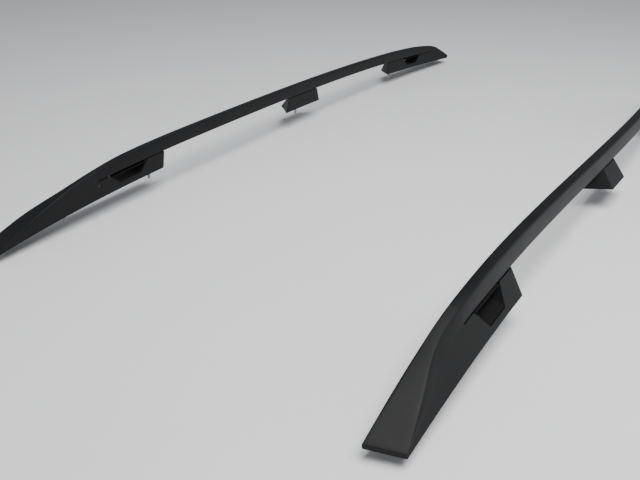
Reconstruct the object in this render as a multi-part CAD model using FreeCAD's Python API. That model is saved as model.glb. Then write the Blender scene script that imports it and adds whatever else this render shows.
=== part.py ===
import FreeCAD, Part
import math
import os

# A pair of raised roof rails for a car: two mirrored side rails that bolt along the roof's gutters.
# +Z is up, -Y is the front of the car and +X is its left side. X = 0 is the car's middle plane, Y = 0 the
# middle of the rails' length, and Z = 0 the level of the lowest stud tips. Millimetres.
# A place on a rail is given by y, by its inset from the foot's outer edge and by its height above the roof.

# Overall sizes
rail_length = 2190.0
track_width = 1120.0        # across the outer edges of the feet, where the roof is widest

# Shape of the roof line that the feet follow
crown_y = -395.0            # highest place of the roof line
front_drop = 45.5           # from the crown down to the nose tip
front_drop_power = 2.5
rear_drop = 44.5            # from the crown down to the tail end
rear_drop_power = 1.8
shoulder_y = 280.0          # widest place in plan
waist_y = -600.0            # narrowest place in plan, ahead of the shoulder
waist_draw = 11.0
rear_tuck = 49.0            # how far the tail end lies inboard of the shoulder
rear_tuck_power = 2.25

# Section of the foot and of the beam
foot_width = 69.0
seat_rise = 6.0             # inner edge of a seat above its outer edge
beam_top = 90.0             # inner top edge of the beam above the roof
top_width = 22.0
top_fall = 3.0              # outer top edge below the inner one
keel_inset = 36.0           # outer lower edge of the beam
keel_height = 50.0
beam_floor_rise = 3.0       # inner lower edge above the outer one
beam_wall = 2.6
top_radius = 5.0
edge_radius = 3.0
least_hollow_radius = 0.8

# Covers, pads and their clearances
cover_wall = 3.0
pad_thickness = 3.0
pad_margin = 1.0            # pad edge inside the cover's edge
under_beam_gap = 1.4        # between a skirt's top edge and the beam
seam_gap = 0.4              # between the beam's ends and the covers
nose_seam = 290.0           # from the nose tip to the beam's front end
tail_seam = 150.0           # from the tail end to the beam's rear end
nose_solid = 34.0           # length of solid plastic at the nose tip
tail_solid = 14.0
nose_sweep = 25.0           # how far the outer corner of the nose tip lies behind the inner one
tail_sweep = 10.0

# Feet: the ends of the skirts below the beam
front_skirt_top = 514.0     # from the nose tip, at the beam
front_skirt_outer = 495.0   # from the nose tip, at the roof's outer edge
front_skirt_inner = 505.0
rear_skirt_inner = 470.0    # from the tail end
rear_skirt_outer = 442.0
mid_foot_y = 65.0
mid_inner_length = 192.0    # at the roof
mid_inner_top_length = 167.0
mid_outer_length = 111.0
mid_outer_top_length = 97.0
mid_outer_shift = 17.0      # the outer facet sits behind the middle of the inner face

# Tie-down openings, seen from the side: lengths at the top and the bottom, on both faces
front_opening_y = 390.0     # middle of the opening's top, from the nose tip
rear_opening_y = 294.0      # middle of the opening's top, from the tail end
opening_headroom = 4.5      # from an opening's top up to the beam's outer lower edge
opening_bottom_outer = 14.0
opening_bottom_inner = 24.0
opening_top_length = 108.0
opening_bottom_length = 66.0
liner_wall = 2.0
liner_clearance = 0.2

# Brackets
plate_thickness = 5.0
plate_outer_inset = 14.0
plate_margin = 4.0          # from a cover's inner wall to the floor plate
web_thickness = 5.0
web_margin = 0.5            # web set in from the floor plate's edge
saddle_margin = 4.0         # from the beam's outer lower edge in to the saddle's edge
saddle_thickness = 5.0
front_plate_start = 100.0   # from the nose tip
rear_plate_start = 70.0     # from the tail end
plate_end_gap = 4.0         # between a bracket and the skirt's end wall
pillar_gap = 3.5            # between a pillar and a tie-down liner
front_pillar_length = 48.0
mid_plate_length = 112.0
mid_pillar_start = 14.0     # from the middle floor plate's front end
rear_pillar_start = 8.0     # from the rear floor plate's front end

# Fasteners
stud_radius = 4.0
stud_reach = 28.0           # below the seat
stud_inset = 34.0
collar_radius = 8.5
collar_height = 1.5
boss_radius = 9.5
boss_height = 2.5           # above the floor plate
washer_hole = 15.0
washer_gap = 0.4
lock_nut_flats = 13.0
lock_nut_height = 6.5
stud_end = 2.0              # thread past the lock nut
front_stud_y = (200.0, 478.0)
rear_stud_y = (130.0, 405.0)
thread_gap = 0.05
beam_screw_radius = 3.0
beam_screw_head = 5.0
beam_screw_head_height = 4.0
beam_screw_length = 20.0
rivet_radius = 4.5
rivet_flange = 6.5
rivet_flange_height = 1.2
rivet_length = 14.0
rivet_bulge = 6.0
cover_screw_radius = 2.0
cover_screw_head = 4.6
cover_screw_head_height = 2.2
socket_share = 0.8          # a driving socket's radius to its thread's radius
screw_end = 2.0             # a cover screw past the web
screw_below_beam = 11.0     # from a cover screw up to the beam's outer lower edge
clip_radius = 2.9
clip_head = 5.0
clip_head_height = 1.5
clip_below_beam = 21.0
clearance = 0.3
web_clearance = 0.9         # between a bracket's web and what stands beside it
bedding = 0.05              # between a pad and what is pressed on it, and under the screws' heads
fixing_boss_radius = 6.0
plug_depth = 12.0           # in the beam, ahead of its first rivet nut
plug_nose = 26.0            # out of the beam

# Places of the fasteners along the rail
screw_from_edge = 16.0      # from a pillar's edge beside an opening to a beam screw
clip_from_edge = 12.0
cover_screw_from_edge = 9.0     # from a pillar's far edge
rear_screw_lag = 8.0        # the first rear beam screw, behind its pillar's middle
mid_screw_places = (-28.0, 44.0)    # from the middle of the middle foot
mid_clip_places = (-20.0, 36.0)

opening_top = keel_height - opening_headroom
cover_screw_height = keel_height - screw_below_beam
clip_height = keel_height - clip_below_beam
plate_inner_inset = foot_width - cover_wall - plate_margin
web_inset = plate_inner_inset - web_margin
web_inner_inset = web_inset - web_thickness
saddle_outer_inset = keel_inset + saddle_margin
beam_screw_inset = web_inner_inset - beam_screw_head - web_clearance
front_end = -rail_length / 2
rear_end = rail_length / 2
beam_front = front_end + nose_seam
beam_back = rear_end - tail_seam
station_step = 62.0
far = 30.0                  # how far cutting shapes run past what they cut

V = FreeCAD.Vector


def roof_drop(y):
    if y < crown_y:
        return front_drop * ((crown_y - y) / (crown_y - front_end)) ** front_drop_power
    return rear_drop * ((y - crown_y) / (rear_end - crown_y)) ** rear_drop_power


def outer_x(y):
    if y < shoulder_y:
        swing = math.sin(math.pi / 2 * (shoulder_y - y) / (shoulder_y - waist_y))
        return track_width / 2 - waist_draw * swing ** 2
    return track_width / 2 - rear_tuck * ((y - shoulder_y) / (rear_end - shoulder_y)) ** rear_tuck_power


def seat(inset):
    """Height of the roof seat, which rises inboard."""
    return seat_rise * inset / foot_width


def beam_floor(inset):
    """Height of the beam's flat underside."""
    slope = beam_floor_rise / (foot_width - keel_inset)
    return keel_height + slope * (inset - keel_inset)


stud_places = [front_end + d for d in front_stud_y]
stud_places += [mid_foot_y]
stud_places += [rear_end - d for d in rear_stud_y]
lift = stud_reach + max(roof_drop(y) for y in stud_places) - seat(stud_inset)


def at(y, inset, height):
    return V(outer_x(y) - inset, y, lift - roof_drop(y) + height)


def guide(points):
    """A smooth long edge through (y, inset, height) points, called with y."""
    curve = Part.BSplineCurve()
    curve.interpolate(Points=[V(*p) for p in points], Parameters=[p[0] for p in points])

    def place(y):
        point = curve.value(min(max(y, points[0][0]), points[-1][0]))
        return point.y, point.z
    return place


def long_edge(nose, tail):
    """A long edge whose ends are given as (distance from the end, inset, height)."""
    points = [(front_end + distance, inset, height) for distance, inset, height in nose]
    points.append((0, *nose[-1][1:]))
    points += [(rear_end - distance, inset, height) for distance, inset, height in tail]
    return guide(points)


# The long edges, from the nose tip to the beam's even stretch and from there to the tail end
crest_inset = foot_width - top_width
crest_height = beam_top - top_fall
inner_edge = long_edge(
    [(0, foot_width, 0.19 * beam_top), (100, foot_width, 0.5 * beam_top), (197, foot_width, 0.745 * beam_top),
     (250, foot_width, 0.855 * beam_top), (311, foot_width, 0.917 * beam_top),
     (394, foot_width, 0.961 * beam_top), (510, foot_width, 0.994 * beam_top), (650, foot_width, beam_top)],
    [(520, foot_width, beam_top), (375, foot_width, 0.989 * beam_top), (220, foot_width, 0.944 * beam_top),
     (123, foot_width, 0.8 * beam_top), (62, foot_width, 0.51 * beam_top), (25, foot_width, 0.3 * beam_top),
     (0, foot_width, 0.133 * beam_top)])
crest_edge = long_edge(
    [(0, 0, 0.06 * crest_height), (27, 0.04 * crest_inset, 0.14 * crest_height),
     (105, 0.43 * crest_inset, 0.47 * crest_height), (197, 0.96 * crest_inset, 0.75 * crest_height),
     (290, 1.02 * crest_inset, 0.897 * crest_height), (375, crest_inset, 0.977 * crest_height),
     (510, crest_inset, crest_height), (650, crest_inset, crest_height)],
    [(520, crest_inset, crest_height), (375, crest_inset, 0.989 * crest_height),
     (220, 0.98 * crest_inset, 0.92 * crest_height), (123, 0.85 * crest_inset, 0.713 * crest_height),
     (62, 0.55 * crest_inset, 0.448 * crest_height), (25, 0.3 * crest_inset, 0.253 * crest_height),
     (0, 0.15 * crest_inset, 0.092 * crest_height)])
keel_edge = long_edge(
    [(0, 0.2, 0.08 * keel_height), (105, 0.33 * keel_inset, 0.5 * keel_height),
     (197, 0.86 * keel_inset, 0.92 * keel_height), (290, keel_inset, keel_height),
     (400, keel_inset, keel_height)],
    [(400, keel_inset, keel_height), (220, keel_inset, keel_height),
     (123, 0.75 * keel_inset, 0.84 * keel_height), (62, 0.44 * keel_inset, 0.5 * keel_height),
     (0, 0.11 * keel_inset, 0.1 * keel_height)])
pad_top = pad_thickness + bedding
rail_radii = [0, edge_radius, top_radius, 0, 0]
beam_radii = [edge_radius, edge_radius, top_radius, edge_radius]


def rail_corners(y):
    """The whole section from the seat to the top: nose, tail, and the feet with the beam."""
    inner_foot = (foot_width, seat(foot_width) + pad_top)
    return [inner_foot, inner_edge(y), crest_edge(y), keel_edge(y), (0, pad_top)]


def beam_corners(y):
    return [(foot_width, beam_floor(foot_width)), inner_edge(y), crest_edge(y), keel_edge(y)]


def offset_corners(corners, distance):
    """The same outline with its sides moved inwards, which is to the left of each side."""
    moved = []
    count = len(corners)
    for i in range(count):
        before, here, after = (V(*corners[j % count], 0) for j in (i - 1, i, i + 1))
        first = (here - before).normalize()
        second = (after - here).normalize()
        first_inward = V(-first.y, first.x, 0)
        inward = (first_inward + V(-second.y, second.x, 0)).normalize()
        point = here + inward * (distance / inward.dot(first_inward))
        moved.append((point.x, point.y))
    return moved


def outline(y, corners, radii):
    """A closed wire across the rail, with rounded corners where a radius is given."""
    most_trim = 0.4     # of a side's length
    points = [at(y, *corner) for corner in corners]
    count = len(points)
    starts, ends, arcs = [], [], []
    for i in range(count):
        here = points[i]
        back = points[i - 1] - here
        ahead = points[(i + 1) % count] - here
        half = back.getAngle(ahead) / 2
        shortest = min(back.Length, ahead.Length)
        trim = min(radii[i] / math.tan(half), most_trim * shortest)
        back.normalize()
        ahead.normalize()
        start, end = here + back * trim, here + ahead * trim
        starts.append(start)
        ends.append(end)
        if radii[i]:
            radius = trim * math.tan(half)
            centre = here + (back + ahead).normalize() * (radius / math.sin(half))
            middle = centre + (here - centre).normalize() * radius
            arcs.append(Part.Arc(start, middle, end).toShape())
        else:
            arcs.append(None)
    edges = []
    for i in range(count):
        if arcs[i]:
            edges.append(arcs[i])
        edges.append(Part.makeLine(ends[i], starts[(i + 1) % count]))
    return Part.Wire(edges)


def sweep(start, stop, corners_at, radii=None):
    """A solid along the rail whose section is corners_at(y)."""
    steps = max(2, math.ceil((stop - start) / station_step))
    stations = [start + (stop - start) * i / steps for i in range(steps + 1)]
    wires = []
    for y in stations:
        corners = corners_at(y)
        wires.append(outline(y, corners, radii or [0] * len(corners)))
    return Part.makeLoft(wires, True, False)


def beyond(a, b, c, side):
    """A large block beyond the plane through a, b and c, on the side that the vector points to."""
    normal = (b - a).cross(c - a).normalize()
    if normal.dot(side) < 0:
        normal = normal * -1
    size = 600.0
    block = Part.makeBox(size, size, size, V(-size / 2, -size / 2, 0))
    block.Placement = FreeCAD.Placement(a, FreeCAD.Rotation(V(0, 0, 1), normal))
    return block


def ruled_block(lower, upper):
    return Part.makeLoft([Part.makePolygon(quad + quad[:1]) for quad in (lower, upper)], True, True)


def rod(radius, start, direction, length):
    return Part.makeCylinder(radius, length, start, direction)


forwards = V(0, -1, 0)


# Ends of the covers
def nose_cut(margin):
    """What lies ahead of the swept-back nose tip."""
    tip = front_end + margin
    return beyond(at(tip, foot_width, 0), at(tip, foot_width, far), at(tip + nose_sweep, 0, 0), forwards)


def front_skirt_cut(margin):
    """What lies behind the front foot."""
    end = front_end - margin
    middle = (front_skirt_outer + front_skirt_top) / 2
    return beyond(at(end + front_skirt_top, foot_width, beam_floor(foot_width)),
                  at(end + front_skirt_inner, foot_width, seat(foot_width)),
                  at(end + middle, keel_inset / 2, keel_height / 2), -forwards)


def rear_skirt_cut(margin):
    """What lies ahead of the rear foot."""
    end = rear_end + margin
    return beyond(at(end - rear_skirt_inner, foot_width, 0),
                  at(end - rear_skirt_inner, foot_width, keel_height),
                  at(end - rear_skirt_outer, keel_inset, keel_height), forwards)


def tail_cut(margin):
    """What lies behind the rounded tail end."""
    end = rear_end - margin
    return beyond(at(end, 0, 0), at(end, 0, far), at(end - tail_sweep, foot_width, 0), -forwards)


def cavity_corners(y):
    """The hollow of a cover, which is open at the roof."""
    corners = rail_corners(y)
    foot = V(*corners[4], 0)
    flare = (foot - V(*corners[3], 0)).normalize() * far
    deep = [(foot_width, -far)] + corners[1:4] + [(foot.x + flare.x, foot.y + flare.y)]
    return offset_corners(deep, cover_wall)


def pocket_corners(y):
    """What a cover leaves free for the beam, from just below its underside."""
    low, high = -far, foot_width + far
    return [(high, beam_floor(high) - under_beam_gap), (high, beam_top + far),
            (low, beam_top + far), (low, beam_floor(low) - under_beam_gap)]


def slab_corners(low_inset, high_inset, bottom, top):
    """A flat strip along the seat, between two heights above it."""
    def corners(y):
        return [(high_inset, seat(high_inset) + bottom), (high_inset, seat(high_inset) + top),
                (low_inset, seat(low_inset) + top), (low_inset, seat(low_inset) + bottom)]
    return corners


def opening(top_y, grow, inset_from, inset_to, headroom=0):
    """A tie-down opening: a tapered four-sided block across the rail, wider towards the outside."""
    x_edge = outer_x(top_y)

    def quad(inset):
        bottom = opening_bottom_outer + (opening_bottom_inner - opening_bottom_outer) * inset / foot_width
        splay = (opening_top_length - opening_bottom_length) / 2 / (opening_top - bottom)
        half_top = opening_top_length / 2 + grow + splay * (grow + headroom)
        half_bottom = opening_bottom_length / 2 + grow - splay * grow
        bottom -= grow
        top = opening_top + grow + headroom
        corners = [(top_y - half_top, top), (top_y + half_top, top),
                   (top_y + half_bottom, bottom), (top_y - half_bottom, bottom)]
        return [V(x_edge - inset, y, lift - roof_drop(y) + height) for y, height in corners]
    return ruled_block(quad(inset_from), quad(inset_to))


def liner(top_y, body):
    """The sleeve in a tie-down opening, trimmed flush with the cover's faces."""
    sleeve = opening(top_y, liner_wall, -far, foot_width + far)
    sleeve = sleeve.cut(opening(top_y, 0, -2 * far, foot_width + 2 * far))
    return sleeve.common(body)


def underside_frame(y, inset):
    """A point on the beam's underside and the direction square to it, upwards."""
    step = 1.0
    here = at(y, inset, beam_floor(inset))
    across = at(y, inset + step, beam_floor(inset + step)) - here
    along = at(y + step, inset, beam_floor(inset)) - here
    up = along.cross(across).normalize()
    if up.z < 0:
        up = up * -1
    return here, up


def seat_point(y):
    return at(y, stud_inset, seat(stud_inset))


def hex_prism(flats, height, start):
    radius = flats / math.sqrt(3)
    corners = [start + V(radius * math.cos(math.radians(60 * i)), radius * math.sin(math.radians(60 * i)), 0)
               for i in range(7)]
    return Part.Face(Part.makePolygon(corners)).extrude(V(0, 0, height))


up_z = V(0, 0, 1)
boss_top = pad_thickness + plate_thickness + boss_height


def saddle_corners(y):
    """The web that stands on the floor plate and the saddle that carries the beam."""
    root = pad_thickness + plate_thickness / 2

    def under(inset):
        return beam_floor(inset) - rivet_flange_height
    return [(web_inset, seat(web_inset) + root), (web_inset, under(web_inset)),
            (saddle_outer_inset, under(saddle_outer_inset)),
            (saddle_outer_inset, under(saddle_outer_inset) - saddle_thickness),
            (web_inner_inset, under(web_inner_inset) - saddle_thickness),
            (web_inner_inset, seat(web_inner_inset) + root)]


def floor_plate(start, stop):
    corners = slab_corners(plate_outer_inset, plate_inner_inset, pad_top, pad_thickness + plate_thickness)
    return sweep(start, stop, corners)


def bracket(plate, pillars, studs, screws, clips, cover_screws):
    """A cast bracket: floor plate, pillars with saddles, stud bosses and the holes for its fasteners."""
    shape = plate
    for start, stop in pillars:
        shape = shape.fuse(sweep(start, stop, saddle_corners))
    for y in studs:
        foot = seat_point(y) + up_z * collar_height
        shape = shape.fuse(rod(boss_radius, foot, up_z, boss_top - collar_height))
    for y in studs:
        shape = shape.cut(rod(stud_radius + clearance, seat_point(y) - up_z * far, up_z, 2 * far))
    for y in screws:
        here, up = underside_frame(y, beam_screw_inset)
        shape = shape.cut(rod(beam_screw_radius + clearance, here - up * far / 2, up, far))
    for y in clips:
        shape = shape.cut(wall_hole(y, clip_height, clip_radius + clearance, -clip_head))
    for y in cover_screws:
        shape = shape.cut(wall_hole(y, cover_screw_height, cover_screw_radius + thread_gap, -clip_head))
    return shape


def wall_hole(y, height, radius, outward, depth=20.0):
    """A rod along X from outside the foot's inner face towards the middle of the foot."""
    return rod(radius, at(y, foot_width + outward, height), V(1, 0, 0), depth)


def wall_boss(y, height):
    """A boss on a cover's inner wall that reaches the bracket's web."""
    gap_to_web = foot_width - cover_wall - web_inset - web_clearance
    return wall_hole(y, height, fixing_boss_radius, -cover_wall / 2, cover_wall / 2 + gap_to_web)


def add_fixings(cover, clips, cover_screws):
    for y in clips:
        cover = cover.fuse(wall_boss(y, clip_height))
        cover = cover.cut(wall_hole(y, clip_height, clip_radius, -cover_wall / 2))
    for y in cover_screws:
        cover = cover.fuse(wall_boss(y, cover_screw_height))
        cover = cover.cut(wall_hole(y, cover_screw_height, cover_screw_radius + clearance, 1))
        recess = cover_screw_head_height + clearance
        cover = cover.cut(wall_hole(y, cover_screw_height, cover_screw_head + clearance, 1, recess + 1))
    return cover


# Places along the rail
opening_half = opening_top_length / 2 + liner_wall + pillar_gap
front_opening = front_end + front_opening_y
rear_opening = rear_end - rear_opening_y
front_pillars = [(front_opening - opening_half - front_pillar_length, front_opening - opening_half),
                 (front_opening + opening_half, front_end + front_skirt_outer - plate_end_gap - cover_wall)]
mid_pillars = [(mid_foot_y - mid_plate_length / 2 + mid_pillar_start, mid_foot_y + mid_plate_length / 2)]
rear_plate_front = rear_end - rear_skirt_outer + plate_end_gap + cover_wall
rear_pillars = [(rear_plate_front + rear_pillar_start, rear_opening - opening_half),
                (rear_opening + opening_half, rear_opening + opening_half + front_pillar_length)]
front_screws = [front_pillars[0][1] - screw_from_edge, sum(front_pillars[1]) / 2]
mid_screws = [mid_foot_y + place for place in mid_screw_places]
rear_screws = [sum(rear_pillars[0]) / 2 + rear_screw_lag, rear_pillars[1][0] + screw_from_edge]
front_cover_screws = [front_pillars[0][0] + cover_screw_from_edge]
rear_cover_screws = [rear_pillars[1][1] - cover_screw_from_edge]
front_clips = [front_pillars[0][1] - clip_from_edge, sum(front_pillars[1]) / 2]
mid_clips = [mid_foot_y + place for place in mid_clip_places]
rear_clips = [sum(rear_pillars[0]) / 2, rear_pillars[1][0] + clip_from_edge]
all_screws = front_screws + mid_screws + rear_screws
all_clips = front_clips + mid_clips + rear_clips
all_cover_screws = front_cover_screws + rear_cover_screws


def make_beam():
    shape = sweep(beam_front, beam_back, beam_corners, beam_radii)
    hollow_radii = [max(r - beam_wall, least_hollow_radius) for r in beam_radii]
    shape = shape.cut(sweep(beam_front - far, beam_back + far,
                            lambda y: offset_corners(beam_corners(y), beam_wall), hollow_radii))
    for y in all_screws:
        here, up = underside_frame(y, beam_screw_inset)
        shape = shape.cut(rod(rivet_radius, here - up * beam_wall, up, 3 * beam_wall))
    return shape


def make_plug(inside, outside):
    """A moulded plug: a spigot in the beam's end and a head that fills the cover beyond it."""
    def spigot(y):
        return offset_corners(beam_corners(y), max(beam_wall, cover_wall) + clearance)
    return sweep(min(inside, outside), max(inside, outside), spigot)


def front_body():
    body = sweep(front_end, front_end + front_skirt_top + far, rail_corners, rail_radii)
    return body.cut(nose_cut(0)).cut(front_skirt_cut(0))


def rear_body():
    body = sweep(rear_end - rear_skirt_inner - far, rear_end, rail_corners, rail_radii)
    return body.cut(tail_cut(0)).cut(rear_skirt_cut(0))


def make_nose_cover(body):
    hollow = sweep(front_end + nose_solid, front_end + front_skirt_top + far, cavity_corners)
    hollow = hollow.cut(front_skirt_cut(cover_wall))
    shape = body.cut(hollow)
    shape = shape.cut(sweep(beam_front - seam_gap, front_end + front_skirt_top + far, pocket_corners))
    grow = liner_wall + liner_clearance
    shape = shape.cut(opening(front_opening, grow, -far, foot_width + far, far / 3))
    return add_fixings(shape, front_clips, front_cover_screws)


def make_tail_cover(body):
    hollow = sweep(rear_end - rear_skirt_inner - far, rear_end - tail_solid, cavity_corners)
    hollow = hollow.cut(rear_skirt_cut(cover_wall))
    shape = body.cut(hollow)
    shape = shape.cut(sweep(rear_end - rear_skirt_inner - far, beam_back + seam_gap, pocket_corners))
    grow = liner_wall + liner_clearance
    shape = shape.cut(opening(rear_opening, grow, -far, foot_width + far, far / 3))
    return add_fixings(shape, rear_clips, rear_cover_screws)


def mid_post(margin):
    """The four-sided post that trims the middle foot; its front face is swept back outwards."""
    low_height, high_height = -far / 2, beam_floor(foot_width) + far / 2

    def quad(height):
        share = height / keel_height
        inner_half = (mid_inner_length + (mid_inner_top_length - mid_inner_length) * share) / 2 - margin
        outer_half = (mid_outer_length + (mid_outer_top_length - mid_outer_length) * share) / 2 - margin
        inset = keel_inset * share
        z = lift - roof_drop(mid_foot_y) + height
        run = foot_width - inset
        past = far / run
        middle = mid_foot_y + mid_outer_shift
        points = []
        for sign in (-1, 1):
            inner_y = mid_foot_y + sign * inner_half
            outer_y = middle + sign * outer_half
            swing = (outer_y - inner_y) * past
            points.append((V(outer_x(inner_y) - foot_width - far, inner_y - swing, z),
                           V(outer_x(outer_y) - inset + far, outer_y + swing, z)))
        return [points[0][0], points[1][0], points[1][1], points[0][1]]
    return ruled_block(quad(low_height), quad(high_height))


def mid_range():
    half = mid_inner_length / 2 + far
    return mid_foot_y - half, mid_foot_y + half


def skirt_corners(y):
    """A foot below the beam."""
    low = beam_floor(keel_inset) - under_beam_gap
    inset = keel_inset * (low - pad_top) / (keel_height - pad_top)
    return [(foot_width, seat(foot_width) + pad_top), (foot_width, beam_floor(foot_width) - under_beam_gap),
            (inset, beam_floor(inset) - under_beam_gap), (0, pad_top)]


def make_mid_cover():
    start, stop = mid_range()
    shape = sweep(start, stop, skirt_corners).common(mid_post(0))
    hollow = sweep(start, stop, cavity_corners).common(mid_post(cover_wall))
    return add_fixings(shape.cut(hollow), mid_clips, [])


def make_pad(outline_shape, studs):
    shape = outline_shape
    for y in studs:
        shape = shape.cut(rod(washer_hole, seat_point(y) - up_z * far, up_z, 2 * far))
    return shape


def pad_sweep(start, stop):
    return sweep(start, stop, slab_corners(pad_margin, foot_width - pad_margin, 0, pad_thickness))


front_pad_slab = pad_sweep(front_end, front_end + front_skirt_top).cut(nose_cut(pad_margin))
front_pad_slab = front_pad_slab.cut(front_skirt_cut(pad_margin))
mid_pad_slab = pad_sweep(*mid_range()).common(mid_post(pad_margin))
rear_pad_slab = pad_sweep(rear_end - rear_skirt_inner, rear_end).cut(tail_cut(pad_margin))
rear_pad_slab = rear_pad_slab.cut(rear_skirt_cut(pad_margin))
stud_slabs = [front_pad_slab] * len(front_stud_y) + [mid_pad_slab] + [rear_pad_slab] * len(rear_stud_y)


def make_washer(y, slab):
    """A sealing ring in the pad's hole, around the stud's collar."""
    ring = rod(washer_hole - washer_gap, seat_point(y) - up_z * far, up_z, 2 * far)
    ring = ring.cut(rod(boss_radius + washer_gap, seat_point(y) - up_z * 2 * far, up_z, 4 * far))
    return slab.common(ring)


def make_stud(y):
    foot = seat_point(y)
    length = stud_reach + boss_top + lock_nut_height + stud_end
    shape = rod(stud_radius, foot - up_z * stud_reach, up_z, length)
    shape = shape.fuse(rod(collar_radius, foot, up_z, collar_height))
    tip = [edge for edge in shape.Edges if abs(edge.BoundBox.ZMax - (foot.z - stud_reach)) < 0.01]
    return shape.makeChamfer(1.0, tip)


def make_lock_nut(y):
    start = seat_point(y) + up_z * boss_top
    bore = rod(stud_radius + thread_gap, start - up_z, up_z, lock_nut_height + 2)
    return hex_prism(lock_nut_flats, lock_nut_height, start).cut(bore)


def make_beam_screw(y):
    here, up = underside_frame(y, beam_screw_inset)
    under_head = here - up * (rivet_flange_height + saddle_thickness + bedding)
    shape = rod(beam_screw_radius, under_head - up, up, beam_screw_length + 1)
    head = rod(beam_screw_head, under_head - up * beam_screw_head_height, up, beam_screw_head_height)
    socket_start = under_head - up * (beam_screw_head_height + 1)
    socket = rod(beam_screw_radius * socket_share, socket_start, up, beam_screw_radius)
    return head.fuse(shape).cut(socket)


def make_rivet_nut(y):
    here, up = underside_frame(y, beam_screw_inset)
    sleeve = rod(rivet_radius - thread_gap, here - up * rivet_flange_height, up, rivet_length)
    flange = rod(rivet_flange, here - up * rivet_flange_height, up, rivet_flange_height - bedding)
    bulge = rod(rivet_bulge, here + up * (beam_wall + clearance), up, beam_wall)
    bore = rod(beam_screw_radius + thread_gap, here - up * far, up, 2 * far)
    return sleeve.fuse(flange).fuse(bulge).cut(bore)


def make_cover_screw(y):
    head = wall_hole(y, cover_screw_height, cover_screw_head, -clearance, cover_screw_head_height)
    reach = foot_width - web_inner_inset + screw_end
    shape = head.fuse(wall_hole(y, cover_screw_height, cover_screw_radius, -clearance - 1, reach))
    socket_radius = cover_screw_radius * socket_share
    socket = wall_hole(y, cover_screw_height, socket_radius, 1, 2 * clearance + cover_screw_head_height)
    return shape.cut(socket)


def make_clip(y):
    wall = cover_wall / 2 + clearance
    stem_end = foot_width - web_inner_inset + web_clearance
    stem = wall_hole(y, clip_height, clip_radius, -wall, stem_end - wall + clip_head_height / 2)
    head = wall_hole(y, clip_height, clip_head, -stem_end, clip_head_height)
    return stem.fuse(head)


front_shape = front_body()
rear_shape = rear_body()
plate_front = floor_plate(front_end + front_plate_start, front_pillars[1][1])
plate_mid = floor_plate(mid_foot_y - mid_plate_length / 2, mid_foot_y + mid_plate_length / 2)
mid_bracket = bracket(plate_mid, mid_pillars, stud_places[2:3], mid_screws, mid_clips, [])
mid_room = mid_post(cover_wall + web_clearance)
plate_rear = floor_plate(rear_pillars[0][0], rear_end - rear_plate_start)
plate_rear = plate_rear.cut(rear_skirt_cut(cover_wall + plate_end_gap))

nodes = {
    "beam": make_beam(),
    "nose_cover": make_nose_cover(front_shape),
    "mid_foot_cover": make_mid_cover(),
    "tail_cover": make_tail_cover(rear_shape),
    "front_bracket": bracket(plate_front, front_pillars, stud_places[:2], front_screws, front_clips,
                             front_cover_screws),
    "mid_bracket": mid_bracket.common(mid_room),
    "rear_bracket": bracket(plate_rear, rear_pillars, stud_places[3:], rear_screws, rear_clips,
                            rear_cover_screws),
    "front_tie_down_liner": liner(front_opening, front_shape),
    "rear_tie_down_liner": liner(rear_opening, rear_shape),
    "front_pad": make_pad(front_pad_slab, stud_places[:2]),
    "mid_pad": make_pad(mid_pad_slab, stud_places[2:3]),
    "rear_pad": make_pad(rear_pad_slab, stud_places[3:]),
    "front_beam_plug": make_plug(beam_front - plug_nose, beam_front + plug_depth),
    "rear_beam_plug": make_plug(beam_back + plug_nose, beam_back - plug_depth),
    "roof_studs": Part.makeCompound([make_stud(y) for y in stud_places]),
    "stud_nuts": Part.makeCompound([make_lock_nut(y) for y in stud_places]),
    "sealing_washers": Part.makeCompound([make_washer(y, slab) for y, slab in zip(stud_places, stud_slabs)]),
    "beam_screws": Part.makeCompound([make_beam_screw(y) for y in all_screws]),
    "rivet_nuts": Part.makeCompound([make_rivet_nut(y) for y in all_screws]),
    "cover_screws": Part.makeCompound([make_cover_screw(y) for y in all_cover_screws]),
    "cover_clips": Part.makeCompound([make_clip(y) for y in all_clips]),
}

os.makedirs("parts", exist_ok=True)
for name, shape in nodes.items():
    shape.exportStep("parts/left_" + name + ".step")
    mirrored = shape.mirror(V(0, 0, 0), V(1, 0, 0))
    mirrored.exportStep("parts/right_" + name + ".step")
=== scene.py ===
import math

import bmesh
import bpy
from mathutils import Matrix, Vector


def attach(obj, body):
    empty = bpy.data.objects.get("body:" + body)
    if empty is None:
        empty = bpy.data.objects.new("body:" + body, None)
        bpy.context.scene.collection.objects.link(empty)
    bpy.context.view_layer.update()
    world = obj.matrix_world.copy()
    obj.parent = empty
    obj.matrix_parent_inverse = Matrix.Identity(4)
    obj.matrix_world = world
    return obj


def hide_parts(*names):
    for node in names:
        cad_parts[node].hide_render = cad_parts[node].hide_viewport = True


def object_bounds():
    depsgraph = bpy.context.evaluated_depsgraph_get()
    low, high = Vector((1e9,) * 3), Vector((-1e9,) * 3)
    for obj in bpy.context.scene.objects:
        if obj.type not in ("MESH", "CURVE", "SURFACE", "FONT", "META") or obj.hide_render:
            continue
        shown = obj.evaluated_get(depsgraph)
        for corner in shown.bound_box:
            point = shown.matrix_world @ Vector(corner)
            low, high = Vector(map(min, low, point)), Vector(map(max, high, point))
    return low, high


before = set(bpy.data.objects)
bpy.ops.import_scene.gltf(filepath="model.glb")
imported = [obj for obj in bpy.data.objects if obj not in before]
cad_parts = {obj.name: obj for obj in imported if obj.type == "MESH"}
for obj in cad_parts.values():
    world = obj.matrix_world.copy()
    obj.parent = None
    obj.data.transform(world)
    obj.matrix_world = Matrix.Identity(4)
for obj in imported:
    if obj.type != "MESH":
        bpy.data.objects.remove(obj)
cad_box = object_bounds()

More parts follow.
